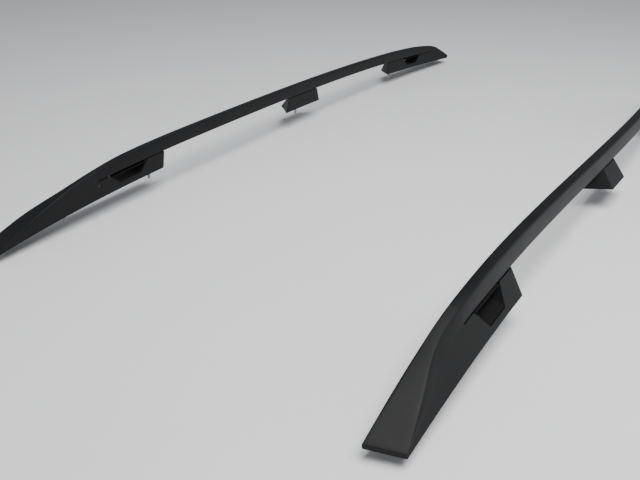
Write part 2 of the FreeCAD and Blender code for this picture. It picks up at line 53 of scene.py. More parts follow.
# Beams. Each is a hollow aluminium extrusion, stretch-bent to the roof's line and coated with satin black
# powder. Its section narrows upwards, and straps and clamps reach under it between the feet. Screws in the
# three feet hold it from below.
front_end, rear_end = cad_box[0].y, cad_box[1].y
crown_y, roof_level = -0.395, 0.0628        # the roof line's highest place, and its height there
front_drop, front_drop_power = 0.0455, 2.5
rear_drop, rear_drop_power = 0.0445, 1.8
half_track = 0.560                          # from the middle of the car to the rails' widest place
shoulder_y, waist_y = 0.280, -0.600
waist_draw = 0.011
rear_tuck, rear_tuck_power = 0.049, 2.25
foot_width = 0.069
seat_rise = 0.006
beam_top = 0.090
crest_inset, crest_height = 0.047, 0.087
keel_inset, keel_height = 0.036, 0.050
beam_floor_rise = 0.003
beam_wall = 0.0026
lower_rounding = 0.003
upper_rounding, crest_rounding = 12, 17     # percent of the sides next to the edge
rim_rounding = 0.0004
crease_angle, rim_angle = math.radians(35), math.radians(50)
nose_seam = front_end + 0.290
tail_seam = rear_end - 0.150
seam_gap = 0.0004
station_gap = 0.014


def roof_drop(y):
    """How far the roof lies below its crown."""
    if y < crown_y:
        return front_drop * ((crown_y - y) / (crown_y - front_end)) ** front_drop_power
    return rear_drop * ((y - crown_y) / (rear_end - crown_y)) ** rear_drop_power


def outer_x(y):
    """The rail's outer edge in plan."""
    if y < shoulder_y:
        swing = math.sin(math.pi / 2 * (shoulder_y - y) / (shoulder_y - waist_y))
        return half_track - waist_draw * swing ** 2
    return half_track - rear_tuck * ((y - shoulder_y) / (rear_end - shoulder_y)) ** rear_tuck_power


def beam_floor(inset):
    """The height of the beam's underside."""
    return keel_height + beam_floor_rise * (inset - keel_inset) / (foot_width - keel_inset)


def long_edge(from_nose, from_tail):
    """An edge that runs from end to end, through (distance from the end, inset, height) points."""
    places = [(front_end + distance, Vector(point)) for distance, *point in from_nose]
    places += [(rear_end - distance, Vector(point)) for distance, *point in from_tail]
    last = len(places) - 1

    def slope(i):
        (y0, before), (y1, after) = places[max(i - 1, 0)], places[min(i + 1, last)]
        return (after - before) / (y1 - y0)

    def point_at(y):
        y = min(max(y, places[0][0]), places[-1][0])
        i = max(n for n in range(last) if places[n][0] <= y)
        (y0, low), (y1, high) = places[i], places[i + 1]
        run = y1 - y0
        t = (y - y0) / run
        ease = t * t * (3 - 2 * t)
        bend = (slope(i) * (1 - t) - slope(i + 1) * t) * run * t * (1 - t)
        return tuple(low * (1 - ease) + high * ease + bend)
    return point_at


inner_edge = long_edge(
    [(distance, foot_width, share * beam_top) for distance, share in
     ((0, 0.19), (0.100, 0.5), (0.197, 0.745), (0.250, 0.855), (0.311, 0.917), (0.394, 0.961), (0.510, 0.994),
      (0.650, 1))],
    [(distance, foot_width, share * beam_top) for distance, share in
     ((0.520, 1), (0.375, 0.989), (0.220, 0.944), (0.123, 0.8), (0.062, 0.51), (0.025, 0.3), (0, 0.133))])
crest_edge = long_edge(
    [(distance, aside * crest_inset, share * crest_height) for distance, aside, share in
     ((0, 0, 0.06), (0.027, 0.04, 0.14), (0.105, 0.43, 0.47), (0.197, 0.96, 0.75), (0.290, 1.02, 0.897),
      (0.375, 1, 0.977), (0.510, 1, 1), (0.650, 1, 1))],
    [(distance, aside * crest_inset, share * crest_height) for distance, aside, share in
     ((0.520, 1, 1), (0.375, 1, 0.989), (0.220, 0.98, 0.92), (0.123, 0.85, 0.713), (0.062, 0.55, 0.448),
      (0.025, 0.3, 0.253), (0, 0.15, 0.092))])
keel_edge = long_edge(
    [(0, 0.0002, 0.08 * keel_height), (0.105, 0.33 * keel_inset, 0.5 * keel_height),
     (0.197, 0.86 * keel_inset, 0.92 * keel_height), (0.290, keel_inset, keel_height),
     (0.400, keel_inset, keel_height)],
    [(0.400, keel_inset, keel_height), (0.220, keel_inset, keel_height),
     (0.123, 0.75 * keel_inset, 0.84 * keel_height), (0.062, 0.44 * keel_inset, 0.5 * keel_height),
     (0, 0.11 * keel_inset, 0.1 * keel_height)])


def stations(start, stop):
    """Evenly spaced places along the rail."""
    steps = math.ceil(abs(stop - start) / station_gap)
    return [start + (stop - start) * i / steps for i in range(steps + 1)]


def grow_edges(mesh, edges):
    """Extrudes edges and returns the new vertices and the new edges between them."""
    grown = bmesh.ops.extrude_edge_only(mesh, edges=edges)["geom"]
    verts = [part for part in grown if isinstance(part, bmesh.types.BMVert)]
    fresh = set(verts)
    return verts, [part for part in grown
                   if isinstance(part, bmesh.types.BMEdge) and fresh.issuperset(part.verts)]


def risers(ring, fresh):
    """The edges that lead from a ring's vertices to the newly grown ones."""
    return [next(edge for edge in vert.link_edges if edge.other_vert(vert) in fresh) for vert in ring]


def sweep(section_at, places, closed=False):
    """Extrudes a section's corners from place to place along a straightened rail. The mesh holds -inset,
    y and height. Returns it with the long edges of each corner."""
    mesh = bmesh.new()
    ring = [mesh.verts.new((-inset, places[0], height)) for inset, height in section_at(places[0])]
    ends = ring[1:] + ring[:1] if closed else ring[1:]
    edges = [mesh.edges.new(pair) for pair in zip(ring, ends)]
    runs = [[] for _ in ring]
    for y in places[1:]:
        verts, edges = grow_edges(mesh, edges)
        for i, riser in enumerate(risers(ring, verts)):
            runs[i].append(riser)
            ring[i] = riser.other_vert(ring[i])
        for vert, (inset, height) in zip(ring, section_at(y)):
            vert.co = (-inset, y, height)
    bmesh.ops.recalc_face_normals(mesh, faces=mesh.faces)
    return mesh, runs


def round_edges(mesh, edges, radius, segments=3, measure="OFFSET"):
    """Rounds edges by a radius in metres or, measured in percent, by a share of the sides next to them."""
    bmesh.ops.bevel(mesh, geom=edges, offset=radius, segments=segments, profile=0.5, affect="EDGES",
                    offset_type=measure, clamp_overlap=True, material=-1)


def lay_on_roof(mesh):
    """Bends a straightened rail's mesh along the roof's line, on the car's left."""
    for vert in mesh.verts:
        x, y, z = vert.co
        vert.co = (outer_x(y) + x, y, roof_level - roof_drop(y) + z)


def at(y, inset, height):
    """A point of the left rail once it is laid on the roof."""
    return Vector((outer_x(y) - inset, y, roof_level - roof_drop(y) + height))


def mirrored(mesh):
    """The same piece for the car's right."""
    other = mesh.copy()
    bmesh.ops.scale(other, vec=(-1, 1, 1), verts=other.verts)
    bmesh.ops.reverse_faces(other, faces=other.faces)
    return other


def hand_over(mesh, name, finish, wall=0, rim=0):
    """Makes a piece of the mesh, which stands for the CAD node of the same name. A skin gets its wall on the
    inside, and then its rims are rounded."""
    for edge in mesh.edges:
        if len(edge.link_faces) == 2 and edge.calc_face_angle() > crease_angle:
            edge.smooth = False
    for face in mesh.faces:
        face.smooth = True
    data = bpy.data.meshes.new(name)
    mesh.to_mesh(data)
    mesh.free()
    piece = bpy.data.objects.new(name + "_body", data)
    bpy.context.collection.objects.link(piece)
    data.materials.append(finish.material)
    if wall:
        thick = piece.modifiers.new("wall", "SOLIDIFY")
        thick.thickness, thick.offset = wall, -1
        thick.use_even_offset = True
        thick.use_quality_normals = True
        soft = piece.modifiers.new("rim", "BEVEL")
        soft.width, soft.segments = rim, 2
        soft.limit_method, soft.angle_limit = "ANGLE", rim_angle
        soft.harden_normals = True
    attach(piece, "root")
    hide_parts(name)


def hand_over_pair(mesh, name, finish, wall, rim):
    other = mirrored(mesh)
    hand_over(mesh, "left_" + name, finish, wall, rim)
    hand_over(other, "right_" + name, finish, wall, rim)


class Signal:
    """A node's output, which can be added, multiplied and so on."""

    def __init__(self, finish, socket):
        self.finish, self.socket = finish, socket

    def __add__(self, other):
        return self.finish.math("ADD", self, other)

    def __sub__(self, other):
        return self.finish.math("SUBTRACT", self, other)

    def __rsub__(self, other):
        return self.finish.math("SUBTRACT", other, self)

    def __mul__(self, other):
        return self.finish.math("MULTIPLY", self, other)

    __radd__ = __add__
    __rmul__ = __mul__

    def limited(self):
        return self.finish.node("ShaderNodeClamp", {}, {"Value": self})


class Finish:
    """A material with its own nodes."""

    def __init__(self, name, **fixed):
        self.material = bpy.data.materials.new(name)
        self.material.use_nodes = True
        self.tree = self.material.node_tree
        self.shader = self.tree.nodes["Principled BSDF"]
        for socket, value in fixed.items():
            self.shader.inputs[socket.replace("_", " ")].default_value = value
        self.place = self.node("ShaderNodeTexCoord", output="Object")

    def node(self, kind, settings=None, inputs=None, output=0):
        """Adds a node: its settings come first, then what its sockets are given."""
        made = self.tree.nodes.new(kind)
        for name, value in (settings or {}).items():
            setattr(made, name, value)
        for socket, value in (inputs or {}).items():
            self.give(made.inputs[socket], value)
        return Signal(self, made.outputs[output])

    def give(self, socket, value):
        if isinstance(value, Signal):
            self.tree.links.new(value.socket, socket)
        else:
            socket.default_value = value

    def math(self, operation, first, second):
        return self.node("ShaderNodeMath", {"operation": operation}, {0: first, 1: second})

    def noise(self, size, detail=2.0, stretch=(1, 1, 1)):
        """Cloudy noise whose lumps are about this many metres across."""
        place = self.place
        if stretch != (1, 1, 1):
            place = self.node("ShaderNodeMapping", {}, {"Vector": place, "Scale": stretch})
        return self.node("ShaderNodeTexNoise", {}, {"Vector": place, "Scale": 1 / size, "Detail": detail})

    def cells(self, size, feature="F1"):
        """How far each place is from the middle of its cell."""
        return self.node("ShaderNodeTexVoronoi", {"feature": feature},
                         {"Vector": self.place, "Scale": 1 / size}, output="Distance")

    def step(self, signal, low, high):
        """0 below low, 1 above high and a ramp between them."""
        return self.node("ShaderNodeMapRange", {"clamp": True},
                         {"Value": signal, "From Min": low, "From Max": high})

    def blend(self, share, first, second):
        """A colour between two others."""
        return self.node("ShaderNodeMix", {"data_type": "RGBA"},
                         {0: share, 6: (*first, 1), 7: (*second, 1)}, output=2)

    def upward(self):
        """How far a surface faces up, from 0 to 1."""
        normal = self.node("ShaderNodeNewGeometry", output="Normal")
        return self.node("ShaderNodeVectorMath", {"operation": "DOT_PRODUCT"},
                         {0: normal, 1: (0, 0, 1)}, output="Value").limited()

    def relief(self, height, depth, strength):
        """Raises the surface by the height signal times a depth in metres."""
        bump = self.node("ShaderNodeBump", {},
                         {"Height": height, "Distance": depth, "Strength": strength}, output="Normal")
        self.give(self.shader.inputs["Normal"], bump)

    def show(self, colour, roughness):
        self.give(self.shader.inputs["Base Color"], colour)
        self.give(self.shader.inputs["Roughness"], roughness)


powder_coat = Finish("satin_black_powder_coat", Specular_IOR_Level=0.15)
peel = powder_coat.noise(0.0011, detail=1.0)
speck = powder_coat.noise(0.00025, detail=0.0)
cloud = powder_coat.noise(0.06, detail=3.0)
dust = powder_coat.step(powder_coat.noise(0.0009, detail=4.0), 0.62, 0.75) * powder_coat.upward()
powder_coat.show(powder_coat.blend((cloud * 0.7 + dust * 0.35).limited(),
                                   (0.004, 0.004, 0.0044), (0.009, 0.0092, 0.0098)),
                 0.36 + cloud * 0.10 + speck * 0.05 + dust * 0.12)
powder_coat.relief(peel * 0.8 + speck * 0.2, 0.00006, 0.6)


def beam_section(y):
    return [(foot_width, beam_floor(foot_width)), inner_edge(y), crest_edge(y), keel_edge(y)]


beam, corner_runs = sweep(beam_section, stations(nose_seam, tail_seam), closed=True)
lower_inner, upper_inner, crest, keel = corner_runs
round_edges(beam, lower_inner + keel, lower_rounding, 4)
round_edges(beam, upper_inner, upper_rounding, 6, "PERCENT")
round_edges(beam, crest, crest_rounding, 6, "PERCENT")
bmesh.ops.recalc_face_normals(beam, faces=beam.faces)
lay_on_roof(beam)
hand_over_pair(beam, "beam", powder_coat, beam_wall, rim_rounding)

# Nose covers. Each is one moulding in grained black plastic: a long nose that rises from the roof to the
# beam's front end, and behind it the skirt of the front foot, which stands below the beam. Its tip is swept
# back, and the skirt is cut away round the tie-down opening.
hair, fine_hair = 1e-5, 1e-6                # places closer than this are one, on large and on small shapes
pad_top = 0.00305
cover_wall = 0.003
under_beam_gap = 0.0014
corner_fade = 0.150                         # the corner under the beam runs out in the nose over this length
tip_sweep, tip_rounding = 0.025, 0.003
skirt_reach, skirt_rounding = 0.514, 0.002
skirt_foot_reach, skirt_outer_reach = 0.505, 0.5045
skirt_outer_inset, skirt_outer_height = 0.018, 0.025
end_trim = 0.002                            # what the cut at a skirt's end takes off
opening_top = 0.0455
opening_bottom_outer, opening_bottom_inner = 0.014, 0.024
opening_top_half, opening_bottom_half = 0.054, 0.033
liner_wall = 0.002
notch_margin = liner_wall + 0.0003
notch_rounding, notch_surround = 0.0045, 0.020
facet_notch_inset, facet_lean = 0.010, 0.4  # the facet's normal leans outwards by more than this
front_opening_y = front_end + 0.390
front_screw_y, cover_screw_height = front_end + 0.2915, 0.039
recess_radius, recess_depth = 0.0049, 0.0025
recess_border, recess_surround = 0.002, (0.03, 0.04)

grain = Finish("grained_black_plastic", Specular_IOR_Level=0.17)
pebbles = grain.cells(0.0010, "SMOOTH_F1")
fine = grain.noise(0.0004, detail=2.0)
sheen = grain.noise(0.045, detail=3.0)
haze = grain.step(grain.noise(0.0012, detail=4.0), 0.60, 0.76) * grain.upward()
grain.show(grain.blend((sheen * 0.6 + haze * 0.4).limited(), (0.005, 0.005, 0.0054), (0.011, 0.0112, 0.0118)),
           0.44 + sheen * 0.08 + pebbles * 0.10 + haze * 0.10)
grain.relief((1 - pebbles) * 0.7 + fine * 0.3, 0.00010, 0.55)


def cover_section_from(seam):
    """The skin's corners, from the inner foot over the top to the outer foot. On both sides one corner lies
    where the skirt stops, just below the beam."""
    inner_foot, outer_foot = Vector((foot_width, seat_rise + pad_top)), Vector((0, pad_top))
    inner_stop = beam_floor(foot_width) - under_beam_gap
    outer_stop = (keel_height - under_beam_gap - pad_top) / (keel_height - pad_top)
    past_seam = -1 if seam > 0 else 1

    def section(y):
        ahead = max((seam - y) * past_seam, 0)
        outer_share = max(outer_stop - ahead / corner_fade, 0.5)
        inner, keel = Vector(inner_edge(y)), Vector(keel_edge(y))
        tall = max(inner.y, inner_edge(seam)[1])
        inner_share = (inner_stop - inner_foot.y) / (tall - inner_foot.y)
        return [inner_foot, inner_foot.lerp(inner, inner_share), inner, crest_edge(y), keel,
                outer_foot.lerp(keel, outer_share), outer_foot]
    return section


def cut(mesh, point, away, faces=None):
    """Splits faces by a plane. With no faces given, all are split and what lies away from the plane goes."""
    split = faces or mesh.faces[:]
    geometry = {part for face in split for part in (face, *face.edges, *face.verts)}
    bmesh.ops.bisect_plane(mesh, geom=list(geometry), dist=fine_hair, plane_co=point, plane_no=away,
                           clear_outer=faces is None)


def close_end(mesh, point, away, radius):
    """Fills the open end that a cut left, and rounds its edge."""
    rim = [vert for vert in mesh.verts if abs((vert.co - point).dot(away)) < hair]
    face = bmesh.ops.contextual_create(mesh, geom=rim)["faces"][0]
    corners = [edge for edge in face.edges if not edge.is_boundary]
    bmesh.ops.recalc_face_normals(mesh, faces=mesh.faces)
    round_edges(mesh, corners, radius)


def faces_where(mesh, test):
    """The faces whose middle passes a test."""
    return [face for face in mesh.faces if test(face.calc_center_median())]


def cut_notch(mesh, middle, on_wall, inset):
    """Cuts a tapered notch, open upwards, in one wall of a skirt."""
    bottom = opening_bottom_outer + (opening_bottom_inner - opening_bottom_outer) * inset / foot_width
    lean = (opening_top_half - opening_bottom_half) / (opening_top - bottom)
    planes = [(Vector((0, middle + side * opening_bottom_half, bottom)),
               Vector((0, side, -lean)).normalized()) for side in (-1, 1)]
    planes.append((Vector((0, middle, bottom)), Vector((0, 0, -1))))
    planes = [(point + away * notch_margin, away) for point, away in planes]
    reach = opening_top_half + notch_surround
    for point, away in planes:
        cut(mesh, point, away,
            [face for face in on_wall(mesh) if abs(face.calc_center_median().y - middle) < reach])
    inside = [face for face in on_wall(mesh)
              if all((face.calc_center_median() - point).dot(away) < 0 for point, away in planes)]
    bmesh.ops.delete(mesh, geom=inside, context="FACES")
    turns = [vert for vert in mesh.verts if vert.is_boundary and abs(vert.co.y - middle) < reach
             and sum(abs((vert.co - point).dot(away)) < hair for point, away in planes) > 1]
    bmesh.ops.bevel(mesh, geom=turns, offset=notch_rounding, segments=3, profile=0.5, affect="VERTICES",
                    material=-1)


def sink_recess(mesh, y, height):
    """Lets a round recess for a screw's head into the flat inner wall."""
    half = recess_radius + recess_border
    centre = Vector((-foot_width, y, height))

    def beside(c, along, up):
        return abs(c.x + foot_width) < hair and abs(c.y - y) < along and abs(c.z - height) < up

    for away in ((0, 1, 0), (0, -1, 0), (0, 0, 1), (0, 0, -1)):
        cut(mesh, centre + Vector(away) * half, away,
            faces_where(mesh, lambda c: beside(c, *recess_surround)))
    patch = faces_where(mesh, lambda c: beside(c, half, half))
    bmesh.ops.delete(mesh, geom=patch, context="FACES")

    def border():
        return [edge for edge in mesh.edges if edge.is_boundary
                and all(beside(vert.co, half + hair, half + hair) for vert in edge.verts)]
    bmesh.ops.subdivide_edges(mesh, edges=border(), cuts=5)
    mouth, rim = grow_edges(mesh, border())
    for vert in mouth:
        vert.co = centre + (vert.co - centre).normalized() * recess_radius
    floor, _ = grow_edges(mesh, rim)
    bmesh.ops.translate(mesh, vec=(recess_depth, 0, 0), verts=floor)
    bmesh.ops.contextual_create(mesh, geom=floor)


def inner_wall(mesh):
    return faces_where(mesh, lambda c: c.x < hair - foot_width and c.z < beam_floor(foot_width))


def outer_facet(mesh):
    return [face for face in faces_where(mesh, lambda c: c.z < keel_height) if face.normal.x > facet_lean]


def make_foot_skin(end, seam, stop, end_plane, skirt_plane, opening_y, screw_y):
    """The skin of a nose or tail with its foot's skirt."""
    places = stations(end, seam) + stations(seam, stop)[1:]
    skin, runs = sweep(cover_section_from(seam), places)
    round_edges(skin, runs[2], upper_rounding, 6, "PERCENT")
    round_edges(skin, runs[3], crest_rounding, 6, "PERCENT")
    for edge in runs[4]:
        edge.smooth = False
    past_seam = 1 if stop > seam else -1
    covered = faces_where(skin, lambda c: (c.y - seam) * past_seam > 0
                          and c.z > beam_floor(-c.x) - under_beam_gap - hair)
    bmesh.ops.delete(skin, geom=covered, context="FACES")
    for plane, radius in ((end_plane, tip_rounding), (skirt_plane, skirt_rounding)):
        cut(skin, *plane)
        close_end(skin, *plane, radius)
    cut_notch(skin, opening_y, inner_wall, foot_width)
    cut_notch(skin, opening_y, outer_facet, facet_notch_inset)
    sink_recess(skin, screw_y, cover_screw_height)
    bmesh.ops.remove_doubles(skin, verts=skin.verts, dist=3 * hair)
    bmesh.ops.recalc_face_normals(skin, faces=skin.faces)
    return skin


def plane_through(a, b, c, outward):
    """A plane as a point and the direction away from what is kept. Points are given as y, inset, height."""
    a, b, c = (Vector((-inset, y, height)) for y, inset, height in (a, b, c))
    away = (b - a).cross(c - a).normalized()
    return a, away if away.y * outward > 0 else -away


skirt_end = front_end + skirt_reach
nose_tip = plane_through((front_end, foot_width, 0), (front_end, foot_width, beam_top),
                         (front_end + tip_sweep, 0, 0), -1)
front_skirt_back = plane_through((skirt_end, foot_width, beam_floor(foot_width)),
                                 (front_end + skirt_foot_reach, foot_width, seat_rise),
                                 (front_end + skirt_outer_reach, skirt_outer_inset, skirt_outer_height), 1)
nose = make_foot_skin(front_end, nose_seam - seam_gap, skirt_end + end_trim, nose_tip, front_skirt_back,
                      front_opening_y, front_screw_y)
lay_on_roof(nose)
hand_over_pair(nose, "nose_cover", grain, cover_wall, rim_rounding)

# Middle foot covers. Each is a four-sided skirt in the same grained plastic, clipped to the middle bracket.
# Its front and rear faces taper outwards, and it ends just below the beam.
mid_foot_y = 0.065
mid_inner_half, mid_inner_top_half = 0.096, 0.0835
mid_outer_half, mid_outer_top_half = 0.0555, 0.0485
mid_outer_y = mid_foot_y + 0.017
mid_rounding = 0.0035
mid_top = (keel_height - under_beam_gap - pad_top) / (keel_height - pad_top)


def mid_ring(share, height_in, height_out):
    """The skirt's four corners, at a share of the way from the roof to the beam."""
    inner_half = mid_inner_half + (mid_inner_top_half - mid_inner_half) * share
    outer_half = mid_outer_half + (mid_outer_top_half - mid_outer_half) * share
    inset = keel_inset * share
    return [(-foot_width, mid_foot_y - inner_half, height_in), (-inset, mid_outer_y - outer_half, height_out),
            (-inset, mid_outer_y + outer_half, height_out), (-foot_width, mid_foot_y + inner_half, height_in)]


mid_cover = bmesh.new()
ring = [mid_cover.verts.new(corner) for corner in mid_ring(0, seat_rise + pad_top, pad_top)]
edges = [mid_cover.edges.new(pair) for pair in zip(ring, ring[1:] + ring[:1])]
uprights = risers(ring, grow_edges(mid_cover, edges)[0])
upper = mid_ring(mid_top, beam_floor(foot_width) - under_beam_gap, keel_height - under_beam_gap)
for upright, vert, corner in zip(uprights, ring, upper):
    upright.other_vert(vert).co = corner
along = [edge for edge in mid_cover.edges if edge not in uprights]
bmesh.ops.subdivide_edges(mid_cover, edges=along, cuts=7, use_grid_fill=True)
round_edges(mid_cover, uprights, mid_rounding, 4)
bmesh.ops.recalc_face_normals(mid_cover, faces=mid_cover.faces)
lay_on_roof(mid_cover)
hand_over_pair(mid_cover, "mid_foot_cover", grain, cover_wall, rim_rounding)

# Tail covers. Each is the rear counterpart of the nose cover, in the same plastic: the skirt of the rear
# foot, and behind the beam's end a shorter tail that falls to the roof.
rear_opening_y = rear_end - 0.294
rear_screw_y = rear_end - 0.1955
tail_sweep = 0.010
rear_skirt_reach, rear_skirt_outer_reach = 0.470, 0.442

tail_end = plane_through((rear_end, 0, 0), (rear_end, 0, beam_top), (rear_end - tail_sweep, foot_width, 0), 1)
rear_skirt_front = plane_through((rear_end - rear_skirt_reach, foot_width, 0),
                                 (rear_end - rear_skirt_reach, foot_width, keel_height),
                                 (rear_end - rear_skirt_outer_reach, keel_inset, keel_height), -1)
tail = make_foot_skin(rear_end, tail_seam + seam_gap, rear_end - rear_skirt_reach - end_trim, tail_end,
                      rear_skirt_front, rear_opening_y, rear_screw_y)
lay_on_roof(tail)
hand_over_pair(tail, "tail_cover", grain, cover_wall, rim_rounding)

# Tie-down liners. Each is a plain matt sleeve through a foot, flush with the skirt on both sides, that closes
# the notch below the beam. A strap or a carrier's hook goes through it.
liner_rounding, liner_rim_rounding = 0.003, 0.0003
liner_black = Finish("matt_black_moulding", Specular_IOR_Level=0.08)
scuffs = liner_black.noise(0.010, detail=4.0, stretch=(1, 6, 1))
dimples = liner_black.noise(0.0005, detail=2.0)
liner_black.show(liner_black.blend(scuffs, (0.003, 0.003, 0.0032), (0.008, 0.008, 0.0086)),
                 0.60 + scuffs * 0.15)
liner_black.relief(dimples, 0.00005, 0.6)


def facet_inset(height):
    """Where the skirt's outer facet stands at this height."""
    return keel_inset * (height - pad_top) / (keel_height - pad_top)


def liner_ring(middle, insets, bottoms):
    """The sleeve's four corners on one side of the foot."""
    heights = (opening_top, opening_top, *bottoms)
    halves = (-opening_top_half, opening_top_half, opening_bottom_half, -opening_bottom_half)
    return [Vector((-inset, middle + half, height)) for inset, half, height in zip(insets, halves, heights)]


floor_slope = (opening_bottom_inner - opening_bottom_outer) / foot_width
floor_slope *= keel_inset / (keel_height - pad_top)
outer_bottom = (opening_bottom_outer - floor_slope * pad_top) / (1 - floor_slope)
top_inset, bottom_inset = facet_inset(opening_top), facet_inset(outer_bottom)
for place, middle in (("front", front_opening_y), ("rear", rear_opening_y)):
    liner = bmesh.new()
    mouth = liner_ring(middle, (top_inset, top_inset, bottom_inset, bottom_inset), (outer_bottom,) * 2)
    back = liner_ring(middle, (foot_width,) * 4, (opening_bottom_inner,) * 2)
    ring = [liner.verts.new(corner) for corner in mouth]
    edges = [liner.edges.new(pair) for pair in zip(ring, ring[1:] + ring[:1])]
    depths = risers(ring, grow_edges(liner, edges)[0])
    for depth, vert, corner in zip(depths, ring, back):
        depth.other_vert(vert).co = corner
    bmesh.ops.subdivide_edges(liner, edges=depths, cuts=5)
    corners = [edge for edge in liner.edges if abs(edge.verts[0].co.x - edge.verts[1].co.x) > 10 * hair]
    round_edges(liner, corners, liner_rounding, 4)
    bmesh.ops.recalc_face_normals(liner, faces=liner.faces)
    bmesh.ops.reverse_faces(liner, faces=liner.faces)
    lay_on_roof(liner)
    hand_over_pair(liner, place + "_tie_down_liner", liner_black, liner_wall,
                   liner_rim_rounding)

# Roof studs. Each is an M8 stud in zinc-plated steel with a round collar that stands on the roof. The lower
# end goes through the roof channel, and the upper end holds the bracket under a lock nut.
stud_radius, stud_core = 0.00395, 0.0033
stud_reach, stud_top = 0.028, 0.019
stud_inset, stud_bevel = 0.034, 0.001
thread_pitch, steps_per_turn = 0.00125, 24
thread_profile = [(stud_core, 0), (stud_radius, 0.44), (stud_radius, 0.56), (stud_core, 1)]
collar_radius, collar_height, collar_rounding = 0.0085, 0.0015, 0.0003
stud_places = [front_end + 0.200, front_end + 0.478, mid_foot_y, rear_end - 0.405, rear_end - 0.130]

zinc = Finish("zinc_plated_steel", Metallic=1.0)
tarnish = zinc.noise(0.004, detail=4.0)
turning = zinc.noise(0.0006, detail=2.0, stretch=(0.2, 0.2, 3))
zinc.show(zinc.blend(tarnish, (0.50, 0.51, 0.52), (0.70, 0.69, 0.64)), 0.24 + tarnish * 0.22 + turning * 0.08)
zinc.relief(turning, 0.00002, 0.4)


def add_thread(mesh, low, high):
    """Spins a thread's profile up a screw line, trims it flat at both ends and bevels them."""
    turns = math.ceil((high - low) / thread_pitch) + 2
    start = low - thread_pitch
    points = [mesh.verts.new((radius, 0, start + rise * thread_pitch)) for radius, rise in thread_profile]
    flanks = [mesh.edges.new(pair) for pair in zip(points, points[1:])]
    bmesh.ops.spin(mesh, geom=points + flanks, cent=(0, 0, 0), axis=(0, 0, 1), angle=math.tau * turns,
                   dvec=(0, 0, thread_pitch / steps_per_turn), steps=steps_per_turn * turns)
    bmesh.ops.remove_doubles(mesh, verts=mesh.verts, dist=fine_hair)
    for height, away in ((low, -1), (high, 1)):
        cut(mesh, (0, 0, height), (0, 0, away))
        rim = [edge for edge in mesh.edges if all(abs(vert.co.z - height) < fine_hair for vert in edge.verts)]
        bmesh.ops.holes_fill(mesh, edges=rim, sides=0)
    for vert in mesh.verts:
        rise = min(vert.co.z - low, high - vert.co.z)
        reach = math.hypot(vert.co.x, vert.co.y)
        limit = stud_radius - max(stud_bevel - rise, 0)
        if reach > limit:
            vert.co.x *= limit / reach
            vert.co.y *= limit / reach
    bmesh.ops.recalc_face_normals(mesh, faces=mesh.faces)


stud = bmesh.new()
add_thread(stud, -stud_reach, stud_top)
collar = bmesh.ops.create_cone(stud, cap_ends=True, segments=48, radius1=collar_radius, radius2=collar_radius,
                               depth=collar_height,
                               matrix=Matrix.Translation((0, 0, collar_height / 2)))["verts"]
collar_edges = {edge for vert in collar for edge in vert.link_edges
                if abs(edge.verts[0].co.z - edge.verts[1].co.z) < fine_hair}
round_edges(stud, list(collar_edges), collar_rounding, 2)


def hand_over_copies(master, spots, name, finish):
    """One piece made of a copy of the master at each spot."""
    whole = bmesh.new()
    single = bpy.data.meshes.new("single")
    master.to_mesh(single)
    for spot in spots:
        before = len(whole.verts)
        whole.from_mesh(single)
        whole.verts.ensure_lookup_table()
        bmesh.ops.transform(whole, matrix=spot, verts=whole.verts[before:])
    bpy.data.meshes.remove(single)
    hand_over(whole, name, finish)


feet = [at(y, stud_inset, seat_rise * stud_inset / foot_width) for y in stud_places]
for side, sign in (("left", 1), ("right", -1)):
    spots = [Matrix.Translation((sign * foot.x, foot.y, foot.z)) for foot in feet]
    hand_over_copies(stud, spots, side + "_roof_studs", zinc)
stud.free()

# Cover screws. Two small screws a side go through the covers' inner walls into the brackets. They are steel
# with a black coating, and each has a low domed head with a six-sided socket.
screw_radius, screw_length = 0.002, 0.013
head_radius, head_height, head_rim, head_setback = 0.0046, 0.0012, 0.0006, 0.0003
socket_radius, socket_mouth, socket_depth, socket_chamfer = 0.0016, 0.0011, 0.0014, 0.0003
dome = [(socket_radius + socket_chamfer, head_height), (head_radius * 0.62, 0.0011),
        (head_radius * 0.9, 0.0007), (head_radius, 0), (head_radius, -head_rim)]

black_steel = Finish("black_coated_steel", Metallic=0.35, Specular_IOR_Level=0.4)
wear = black_steel.noise(0.0015, detail=4.0)
black_steel.show(black_steel.blend(wear, (0.016, 0.016, 0.017), (0.045, 0.045, 0.046)), 0.36 + wear * 0.2)
black_steel.relief(wear, 0.00003, 0.5)



def add_ring(mesh, radius, height, segments=36):
    """Adds a circle round the screw's line and returns its edges."""
    made = bmesh.ops.create_circle(mesh, radius=radius, segments=segments,
                                   matrix=Matrix.Translation((0, 0, height)))["verts"]
    return list({edge for vert in made for edge in vert.link_edges})


screw = bmesh.new()
hexagon = add_ring(screw, socket_radius, socket_mouth, 6)
rings = [add_ring(screw, radius, height) for radius, height in dome]
socket_floor, _ = grow_edges(screw, hexagon)
bmesh.ops.translate(screw, vec=(0, 0, -socket_depth), verts=socket_floor)
bmesh.ops.contextual_create(screw, geom=socket_floor)
rings += [add_ring(screw, screw_radius, height) for height in (-head_rim, -screw_length)]
for first, second in zip([hexagon] + rings, rings):
    bmesh.ops.bridge_loops(screw, edges=first + second)
bmesh.ops.holes_fill(screw, edges=rings[-1], sides=0)
bmesh.ops.recalc_face_normals(screw, faces=screw.faces)

heads = [at(y, foot_width - head_setback - head_height, cover_screw_height)
         for y in (front_screw_y, rear_screw_y)]
for side, sign in (("left", 1), ("right", -1)):
    turn = Matrix.Rotation(-sign * math.pi / 2, 4, "Y")
    spots = [Matrix.Translation((sign * head.x, head.y, head.z)) @ turn for head in heads]
    hand_over_copies(screw, spots, side + "_cover_screws", black_steel)
screw.free()

